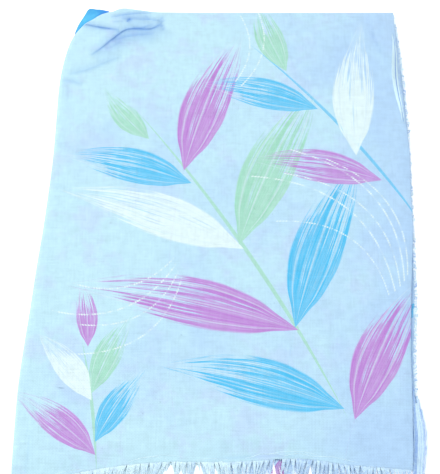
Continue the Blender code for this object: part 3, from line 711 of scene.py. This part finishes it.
def panel_points(across, back):
    """The panel's outer side at distances from its left and front rims. Below 0 or past the back rim the
    cloth has rolled under."""
    x, y = plan(np.clip(across / (2 * HALF_WIDTH), 0, 1), np.clip(back / (2 * HALF_LENGTH), 0, 1))
    past_left, past_back = np.maximum(-across, 0.0), np.maximum(back - 2 * HALF_LENGTH, 0.0)
    to_left, to_back, to_right, to_front = x - left_x(y), back_y(x) - y, right_x(y) - x, y - front_y(x)
    to_raw_edge = np.minimum(to_right, to_front)
    to_rim = np.minimum(np.minimum(to_left, to_back), to_raw_edge)
    height = panel_height(x, y)
    waves = 0.32 * wandering(x, y, 75.0, 1.0) + 0.12 * wandering(x, y, 24.0, 2.0)
    height += eased(to_rim / LEFT_FOLD.width) * waves
    height += (1 - np.clip(to_raw_edge / RAW_MARGIN, 0, 1)) * 0.5 * wandering(x, y, 9.0, 3.0)
    moved, shade = creased(np.c_[x, y, height], eased(to_rim / CREASE_MARGIN))
    moved[:, 0] += (1 - np.clip(to_right / 5.0, 0, 1)) * 0.45 * wandering(x, y, 4.0, 4.0)
    moved[:, 1] += (1 - np.clip(to_front / 5.0, 0, 1)) * 0.6 * wandering(x, y, 5.0, 5.0)
    left_in, left_down = rolled(past_left, LEFT_ROLL)
    back_in, back_down = rolled(past_back, BACK_ROLL)
    tucked = 0.12 + 0.88 * eased((x + 140.0) / 30.0)
    moved[:, 0] += left_in
    moved[:, 1] -= back_in * tucked
    moved[:, 2] = np.maximum(moved[:, 2] - np.hypot(left_down, back_down * tucked), 0.6)
    return moved, np.c_[x - past_left, y + past_back], shade


columns = spaced((-6.5, 0), (0, 0.9), (9, 0.9), (17, 2), (110, 1.3), (150, 3), (400, 6), (424, 3), (430, 1))
back_rows = (490, 2.5), (590, 1.3), (600, 0.8), (606.5, 0.9)
rows = spaced((0, 0), (6, 1), (26, 3), (120, 5), (470, 6.5), *back_rows)
top_panel = cloth_sheet("printed_top_panel", columns, rows, panel_points)
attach(top_panel, "root")
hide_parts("top_panel")


# The print: a willow spray that sweeps up from the lower right, a second from the right edge, and a small
# sprig at the lower left, with beaded tendrils between them.
SPRAYS = (
    (137.7, -234.4, 121.4, 470, 5, 23, SAGE, 0.9, 0.1), (238, -6, 128, 330, 4.5, 22, SKY, 0.85, 0.1),
    (-132, -292, 98, 150, 4, 6, SAGE, 0.9, 0.1),
    (134, -224, 166, 208, 62, 1.2, SKY, 0.95, 0.34), (146, -236, 64, 192, 58, -1.0, ORCHID, 0.92, 0.36),
    (86, -130, 168, 268, 66, 1.2, ORCHID, 0.92, 0.38), (84, -126, 70, 236, 64, -1.0, SKY, 0.95, 0.34),
    (26, -28, 160, 226, 60, 1.2, WHITE, 0.9, 0.3), (22, -22, 66, 240, 66, -1.0, SAGE, 0.94, 0.34),
    (-34, 58, 166, 158, 50, 1.1, SKY, 0.95, 0.34), (-42, 76, 70, 212, 60, -1.0, ORCHID, 0.92, 0.38),
    (-84, 118, 128, 92, 32, -0.9, SAGE, 0.92, 0.3),
    (188, 62, 170, 158, 48, 1.1, ORCHID, 0.9, 0.36), (160, 96, 86, 190, 54, -0.9, WHITE, 0.9, 0.32),
    (116, 160, 166, 146, 46, 1.1, SKY, 0.95, 0.34), (80, 214, 108, 110, 38, -0.8, SAGE, 0.92, 0.34),
    (-134, -276, 142, 118, 38, 0.9, ORCHID, 0.9, 0.38), (-134, -262, 58, 104, 34, -0.9, SKY, 0.94, 0.36),
    (-140, -214, 128, 100, 34, 0.9, WHITE, 0.9, 0.32), (-140, -206, 66, 110, 34, -0.9, SAGE, 0.92, 0.36),
    (-146, -150, 98, 84, 26, 0.8, ORCHID, 0.9, 0.38),
)

# A tendril of small printed beads on a curved line. Place runs from 0 to 1 along it, in its own length.
tendril, add, bead_in, bead_out = new_group("beaded_tendril", "Place Below Dye Bend Beads Size", "Color")
parts = add("SeparateXYZ", (bead_in["Place"],))
from_end = add("Math", (1.0, parts[0]), operation="SUBTRACT")
arch = add("Math", (parts[0], from_end), operation="MULTIPLY")
off_line = add("Math", (arch, bead_in["Bend"], parts[1]), operation="MULTIPLY_ADD")
counted = add("Math", (parts[0], bead_in["Beads"]), operation="MULTIPLY")
around = add("Math", (counted,), operation="FRACT")
centred = add("Math", (around, 0.5), operation="SUBTRACT")
off_bead = add("Math", (centred, bead_in["Beads"]), operation="DIVIDE")
gap = add("CombineXYZ", (off_bead, off_line))
apart = add("VectorMath", (gap,), operation="LENGTH")
shares = add("Math", (apart, bead_in["Size"]), operation="DIVIDE")
bead = add("MapRange", (shares, 0.75, 1.1, 0.9, 0.0))
along = add("Math", (arch, 0.0), operation="GREATER_THAN")
worn = add("TexNoise", {"Vector": bead_in["Place"], "Scale": 22.0, "Detail": 1.0})
kept = add("MapRange", (worn[0], 0.4, 0.56, 0.15, 1.0))
whole = add("Math", (bead, along), operation="MULTIPLY")
there = add("Math", (whole, kept), operation="MULTIPLY")
beaded = add("Mix", {0: there, 6: bead_in["Below"], 7: bead_in["Dye"]}, data_type="RGBA")
tendril.links.new(beaded, bead_out["Color"])
Tendril = namedtuple("Tendril", "x y turn length bend beads size")
TENDRILS = (
    (212, -62, 120, 176, 0.7, 62, 1.2), (208, -70, 126, 214, 0.75, 76, 1.3),
    (203, -77, 131, 196, 0.8, 70, 1.2), (197, -83, 137, 220, 0.8, 78, 1.3),
    (190, -88, 143, 158, 0.85, 56, 1.1), (-52, -40, 196, 118, -0.7, 42, 1.2),
    (-50, -48, 203, 150, -0.75, 54, 1.3), (-47, -57, 210, 132, -0.8, 48, 1.2),
    (-43, -65, 218, 154, -0.8, 56, 1.2), (18, 198, 86, 98, 0.6, 34, 1.2),
    (25, 192, 79, 112, 0.6, 40, 1.2),
)

printed_voile, add = new_material("printed_cotton_voile")
cloth = add("UVMap", uv_map="cloth")
colour = add("Group", {"Cloth": cloth}, node_tree=ground)
colour = print_leaves(add, cloth, colour, SPRAYS)
for shape in (Tendril(*row) for row in TENDRILS):
    looks = {"Dye": linear(WHITE), "Beads": float(shape.beads), "Size": shape.size / shape.length}
    colour = print_shape(add, cloth, colour, tendril, shape, shape.length, **looks)

# A grey fleck, 8 mm of darker yarn woven in near the lower left.
place = add(
    "Mapping",
    (cloth, (-173.5 * MM, -200.0 * MM, 0.0), (0.0, 0.0, math.radians(-8.0)), (4.2 * MM, 1.2 * MM, 1.0)),
    vector_type="TEXTURE",
)
off_fleck = add("VectorMath", (place,), operation="LENGTH")
fleck = add("MapRange", (off_fleck, 0.3, 1.2, 0.6, 0.0))
flecked = add("Mix", {0: fleck, 6: colour, 7: linear("809CB4")}, data_type="RGBA")
finish_voile(add, cloth, flecked)
top_panel.data.materials.append(printed_voile)


# ----------------------------------------------------------------------------------------------------------
# The frayed edges: the weave's own yarns, left standing where the crossing yarns were pulled out. The top
# panel's short end hangs over the fold below in a fringe, the ply under it has one that lies on the table,
# and the long raw edges at the right have short tufts and a few loosened yarns that run along them.
YARN = 0.36
YARN_SIDES = 4
STEPS = 7


def loose_yarns(name, ways, bleach_and_shade):
    """Yarns as one piece, four sided and thinner towards their ends. The third argument says how pale each
    one is, partly as painted shade.
    """
    curve = bpy.data.curves.new(name, "CURVE")
    curve.dimensions = "3D"
    curve.bevel_depth = YARN / 2 * MM
    curve.bevel_resolution = 0
    for way in ways:
        spline = curve.splines.new("POLY")
        spline.points.add(len(way) - 1)
        places = np.ones((len(way), 4))
        places[:, :3] = (way + MIDDLE) * MM
        spline.points.foreach_set("co", places.ravel())
        spline.points.foreach_set("radius", np.linspace(1.1, 0.6, len(way)))
    guide = placed(name + "_guide", curve)
    bpy.context.view_layer.update()
    open_yarns = bpy.data.meshes.new_from_object(guide.evaluated_get(bpy.context.evaluated_depsgraph_get()))
    bpy.data.objects.remove(guide)
    paleness = open_yarns.attributes.new("bleach_and_shade", "FLOAT", "POINT")
    paleness.data.foreach_set("value", np.repeat(bleach_and_shade, [YARN_SIDES * len(way) for way in ways]))
    maker = bmesh.new()
    maker.from_mesh(open_yarns)
    bpy.data.meshes.remove(open_yarns)
    open_ends = [edge for edge in maker.edges if edge.is_boundary]
    bmesh.ops.holes_fill(maker, edges=open_ends, sides=YARN_SIDES)
    bmesh.ops.recalc_face_normals(maker, faces=maker.faces)
    fringe = shaped(name, maker)
    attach(fringe, "root")
    return fringe


def clumped(roots, along, out, lengths, leans, clump, gathered, tips, seed):
    """The ways of yarns that stand side by side along an edge and stick together in uneven clumps, and how
    pale each is, from 0 to 1. gathered is 1 where a clump's yarns run together to one point."""
    draws = np.random.default_rng(seed)
    count = len(along)
    ids = np.floor(along / clump + 0.7 * wandering(along, 0, 2.3 * clump, seed)).astype(int)
    ids -= ids.min()
    clumps = ids.max() + 1
    centres = np.bincount(ids, along, clumps) / np.maximum(np.bincount(ids, minlength=clumps), 1)
    own_length, own_lean = draws.uniform(0.7, 1.1, clumps)[ids], draws.normal(0, 0.16, clumps)[ids]
    own_bow = draws.normal(0, 0.05, clumps)[ids]
    length = (lengths * own_length * draws.uniform(0.82, 1.06, count))[:, None]
    t = np.linspace(0, 1, STEPS)[None, :]
    gather = ((centres[ids] - along) * gathered)[:, None] * (eased(t / 0.6) - 0.4 * t**3)
    side = gather + ((leans + own_lean)[:, None] * t**1.5 + own_bow[:, None] * np.sin(math.pi * t)) * length
    side += draws.normal(0, 0.35, count)[:, None] * t
    ways = np.empty((count, STEPS, 3))
    ways[:, :, 0] = roots[:, :1] + out[0] * length * t - out[1] * side
    ways[:, :, 1] = roots[:, 1:2] + out[1] * length * t + out[0] * side
    ways[:, :, 2] = roots[:, 2:] - (roots[:, 2:] - tips[:, None]) * eased(t * 1.1)
    return ways, 0.5 * draws.random(clumps)[ids] + 0.5 * draws.random(count)


def worn_away(places, spots):
    """What share of each yarn is gone: most of it for 4 mm on each side of the spots."""
    return sum(0.8 * np.exp(-(((places - spot) / 4.0) ** 2)) for spot in spots)


# The top panel's short end, whose yarns end at about the same line.
HEM_YARNS = 1700
FRINGE_END = -322.0
places = np.linspace(1.5, 2 * HALF_WIDTH - 1.5, HEM_YARNS)
roots = panel_points(places, 1.0)[0] - (0.0, 0.0, 0.2)
lean = 0.22 * np.sin(places / 27.0) + 0.1 * np.sin(places / 9.0)
lengths = np.clip(front_y(roots[:, 0]) - FRINGE_END, 16.0, 24.0) * (1 + 0.1 * np.sin(places / 41.0))
lengths *= 1 - worn_away(places, (170.5, 198.5, 283.0, 288.0))
tips = 1.3 + 0.5 * wandering(places, 0, 12.0, 21.0)
gathered = 0.14 + 0.46 * eased((places - 150.0) / 120.0)
ways, pale = clumped(roots, places, (0, -1), lengths, lean, 4.6, gathered, tips, 21)
# The yarns are paler at the left and darker towards the right.
bleach_and_shade = 0.6 - 0.28 * eased((places - 200.0) / 100.0) + 0.5 * pale
hem_fringe = loose_yarns("hem_fringe_yarns", ways, bleach_and_shade)
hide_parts("hem_fringe")

# The short end of the ply under it, on the table under the hem.
UNDER_YARNS = 1800
places = np.linspace(left_x(-HALF_LENGTH) + 6.0, right_x(-HALF_LENGTH) - 20.0, UNDER_YARNS)
roots = np.c_[places, front_y(places) + 2.0, np.full(UNDER_YARNS, 1.3)]
lean = 0.2 * np.sin(places / 35.0)
lengths = np.clip(front_y(places) - FRINGE_END, 15.0, 24.0) * (1 - worn_away(places, (-52.0, -24.0)))
ways, pale = clumped(roots, places, (0, -1), lengths, lean, 5.6, 0.15, np.full(UNDER_YARNS, 0.3), 22)
# Painted shade: its yarns are darker from the middle rightwards, for the shade under the hem.
bleach_and_shade = 0.7 - 0.45 * eased((places + 60.0) / 120.0) + 0.4 * pale
under_fringe = loose_yarns("under_fringe_yarns", ways, bleach_and_shade)
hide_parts("under_fringe")

# The side ply's long raw edge: short tufts of weft. Near the front, bundles of warp yarns have parted from
# the ply and bow outwards beside it, the outer two of them sparse.
SIDE_YARNS = 2400
places = np.linspace(SIDE_FRONT + 1.0, SIDE_BACK - 1.0, SIDE_YARNS)
edge = ply_edge_x(places) - 1.2
roots = np.c_[edge, places, side_height(edge, places) - 0.2]
lean = 0.4 * np.sin(places / 17.0) + 0.3 * np.sin(places / 6.0)
tips = roots[:, 2] - 1.0 - 0.8 * wandering(places, 0, 8.0, 23.0)
tufts = 1.5 + thread_length(places) * (1 + 0.5 * wandering(places, 0, 7.0, 24.0))
lengths = np.where(places < FLARE_START - 6.0, 2.0, tufts)
ways, pale = clumped(roots, places, (1, 0), lengths, lean, 3.4, 0.4, tips, 23)
Bundle = namedtuple("Bundle", "yarns width")
BUNDLE, SPARSE_BUNDLE = Bundle(9, 1.9), Bundle(5, 3.2)
BUNDLE_BLEACH = (0.4, 0.2, 0.3, 0.9, 1.2, 0.8, 1.2, 0.6, 0.4, 0.4)
draws = np.random.default_rng(24)
strand_ways, strand_bleach_and_shade = [], []
for k, bundle_bleach in enumerate(BUNDLE_BLEACH):
    start, end = FLARE_START + draws.uniform(-16, 4) - 1.5 * k, SIDE_FRONT - draws.uniform(14, 24)
    y = np.linspace(start, end, 26)
    inner, outer = right_x(y), HALF_WIDTH + under_out(y) - 0.4
    middle = inner + (outer - inner) * (k + 0.7) / len(BUNDLE_BLEACH)
    middle += 0.9 * wandering(3 * k, y, 22.0, 25.0)
    bundle = SPARSE_BUNDLE if k > len(BUNDLE_BLEACH) - 3 else BUNDLE
    for j in range(bundle.yarns):
        aside = bundle.width * (j / (bundle.yarns - 1) - 0.5)
        aside = aside * (0.75 + 0.5 * np.abs(wandering(k, y, 15.0, 26.0)))
        x = middle + aside + 0.25 * wandering(9 * j, y, 6.0, 27.0)
        z = side_height(np.minimum(x, ply_edge_x(y)), np.maximum(y, SIDE_FRONT)) + 0.35
        z -= 0.2 * np.maximum(x - ply_edge_x(y), 0) + 0.11 * np.maximum(SIDE_FRONT - y, 0)
        strand_ways.append(np.c_[x, y, np.maximum(z, 0.4)])
        # Painted shade: the first two yarns of each bundle are dark, for the shade in the gaps between
        # bundles.
        strand_bleach_and_shade.append(bundle_bleach + draws.uniform(-0.3, 0.3) if j > 1 else -0.5)
bleach_and_shade = np.concatenate((0.25 + 0.8 * pale + 0.7 * wandering(places, 0, 6.0, 29.0), strand_bleach_and_shade))
side_fringe = loose_yarns("side_fringe_yarns", list(ways) + strand_ways, bleach_and_shade)
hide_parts("side_fringe")

# The top panel's own raw edge at the right: short ends of weft, longer towards the back. Along the hem, the
# last weft yarns have come loose in pairs and arch over the fringe's roots.
EDGE_YARNS = 900
places = np.linspace(4.0, 2 * HALF_LENGTH - 6.0, EDGE_YARNS)
roots = panel_points(2 * HALF_WIDTH - 0.6, places)[0] - (0.0, 0.0, 0.2)
near_back = eased((places - 450.0) / 60.0)
lengths = 1.3 + 0.9 * wandering(places, 0, 11.0, 26.0) + 1.9 * near_back
lean = 0.5 * np.sin(places / 21.0)
ways, pale = clumped(roots, places, (1, 0), lengths, lean, 2.6, 0.5, roots[:, 2] - 0.7, 25)
Weft = namedtuple("Weft", "start end back arch")
WEFTS = (
    Weft(124, 168, 2.5, 3.5), Weft(140, 184, 5.0, 2.0), Weft(250, 296, 3.0, 3.5), Weft(274, 330, 5.5, 2.5),
    Weft(292, 322, 3.0, 2.5), Weft(322, 372, 3.0, 2.5), Weft(44, 80, 2.0, 1.5), Weft(198, 232, 2.0, 1.5),
)
weft_ways = []
for k, weft in enumerate(WEFTS):
    across = np.linspace(weft.start, weft.end, 26)
    for j in range(2):
        back = weft.back + (weft.arch + 0.4 * j) * np.sin(math.pi * np.linspace(0, 1, 26))
        back += 0.7 * wandering(across, 4 * k + 0.3 * j, 9.0, 27.0)
        weft_ways.append(panel_points(across, back)[0] + (0.0, 0.0, 0.15))

# Near its back end the same edge has worn along 100 mm: its outermost warp yarns lie loose side by side,
# blue at the very edge and bleached further in. Between them, yarns painted dark stand for the shade
# of a gap.
WORN_START, WORN_END = 448.0, 556.0
WARPS, WORN_BAND = 30, 11.0
BLUE_BAND = 3.4
GAP_SHADE_START, GAP_SHADE_END = 5.8, 6.8
draws = np.random.default_rng(28)
warp_ways, warp_bleach_and_shade = [], []
for inset in np.linspace(0.4, WORN_BAND, WARPS):
    start, end = WORN_START + draws.uniform(-14, 14), WORN_END + draws.uniform(-12, 12)
    back = start + (end - start) * np.linspace(0, 1, 34)
    share = np.clip((back - WORN_START) / (WORN_END - WORN_START), 0, 1)
    inset_here = inset * (0.5 + 0.5 * np.sin(math.pi * share)) + 0.3 * wandering(inset, back, 9.0, 30.0)
    warp_ways.append(panel_points(2 * HALF_WIDTH - inset_here, back)[0] + (0.0, 0.0, 0.15))
    # Painted shade: the yarns in this band are dark, where a gap's shade would be.
    dark = GAP_SHADE_START < inset < GAP_SHADE_END
    warp_bleach_and_shade.append(0.45 if inset < BLUE_BAND else -0.4 if dark else 1.1 + draws.uniform(-0.2, 0.2))
bleach_and_shade = np.concatenate((0.8 * pale + 0.3 * near_back, np.full(len(weft_ways), 1.3), warp_bleach_and_shade))
edge_fuzz = loose_yarns("raw_edge_yarns", list(ways) + weft_ways + warp_ways, bleach_and_shade)

# The long raw edges of the plies lower down, each yarn at the middle of its ply's edge.
LOWER_YARNS = 1600
places = np.linspace(-292.0, 286.0, LOWER_YARNS)
lips = [RIGHT_LIPS[k % len(RIGHT_LIPS)] for k in range(LOWER_YARNS)]
heights = np.array([(lip.low + lip.high) / 2 for lip in lips])
reach = np.array([lip.reach for lip in lips])
roots = np.c_[right_x(places) - reach - 0.9, places, heights]
lean = 0.6 * np.sin(places / 15.0)
lengths = np.clip(reach + under_out(places) - edge_out(places) - 0.4, 2.0, 8.0)
lengths *= 1 + 0.3 * wandering(places, 0, 13.0, 28.0)
ways, pale = clumped(roots, places, (1, 0), lengths, lean, 3.4, 0.6, np.maximum(heights - 0.8, 0.3), 26)
lower_fuzz = loose_yarns("lower_edge_yarns", ways, 0.2 + 0.9 * pale)

# Loose cotton yarn: matt and fuzzy, from blue grey to almost white, unevenly scuffed. How pale each yarn is
# mixes its own bleach with painted shade, dark under the hem and in the gaps at the side. An orchid leaf
# of the print ran out over the lower fringe, and shows where the upper one has worn away.
LOW = 1.4 * MM
loose_yarn, add = new_material("loose_cotton_yarn")
place = add("TexCoord")["Object"]
scuffs = add("TexNoise", {"Vector": place, "Scale": 420.0, "Detail": 2.0})
# Each yarn's paleness, with painted shade in it.
bleach_and_shade_fac = add("Attribute", attribute_name="bleach_and_shade")["Fac"]
paleness = add("Math", (scuffs[0], 0.8, bleach_and_shade_fac), operation="MULTIPLY_ADD")
share = add("MapRange", (paleness, 0.3, 1.3))
shades = add("Mix", {0: share, 6: linear("82AAE2"), 7: linear("D9F2FA")}, data_type="RGBA")
parts = add("SeparateXYZ", (place,))
low = add("Math", (parts[2], LOW), operation="LESS_THAN")
shades = print_leaves(add, place, shades, [(46, -334, 74, 66, 22, 0.6, ORCHID, low, 0.1)])
shader = add(
    "BsdfPrincipled",
    {"Base Color": shades, "Roughness": 0.9, "Sheen Weight": 0.2, "Sheen Roughness": 0.5,
     "Specular IOR Level": 0.2},
)
add("OutputMaterial", (shader,))
for fringe in (hem_fringe, under_fringe, side_fringe, edge_fuzz, lower_fuzz):
    fringe.data.materials.append(loose_yarn)


# ----------------------------------------------------------------------------------------------------------
# The floor, the light and the camera: a white light table, which glows a little and so swallows the
# shadows, under broad soft light, cool from all round and warmer from a window at the left.
maker = bmesh.new()
bmesh.ops.create_grid(maker, x_segments=1, y_segments=1, size=4.0)
floor = shaped("floor", maker)
laminate, add = new_material("white_laminate")
glow = {"Emission Color": (1.0, 1.0, 1.0, 1.0), "Emission Strength": 0.35}
shader = add("BsdfPrincipled", {"Base Color": linear("FAFAFA"), "Roughness": 0.9, **glow})
add("OutputMaterial", (shader,))
floor.data.materials.append(laminate)

world = bpy.data.worlds.new("studio")
world.use_nodes = True
surroundings = world.node_tree.nodes["Background"].inputs
surroundings["Color"].default_value = (0.93, 0.95, 1.0, 1.0)
surroundings["Strength"].default_value = 1.08
bpy.context.scene.world = world

WINDOW = Vector((-2.4, 0.4, 2.6))
light = bpy.data.lights.new("window_light", "AREA")
light.size = 1.4
light.energy = 48.0
light.color = (1.0, 0.93, 0.8)
lamp = placed("window_light", light)
lamp.location = WINDOW
lamp.rotation_euler = (-WINDOW).to_track_quat("-Z", "Y").to_euler()

ELEVATION = math.radians(62.0)
DISTANCE = 1.9
TARGET = Vector((-1.13, -6.5, 10.0)) * MM
lens = bpy.data.cameras.new("camera")
lens.lens = 126.12
lens.sensor_width = 36.0
camera = placed("camera", lens)
camera.location = TARGET + DISTANCE * Vector((0.0, -math.cos(ELEVATION), math.sin(ELEVATION)))
camera.rotation_euler = (math.pi / 2 - ELEVATION, 0.0, 0.0)
bpy.context.scene.camera = camera
bpy.context.scene.view_settings.view_transform = "Standard"
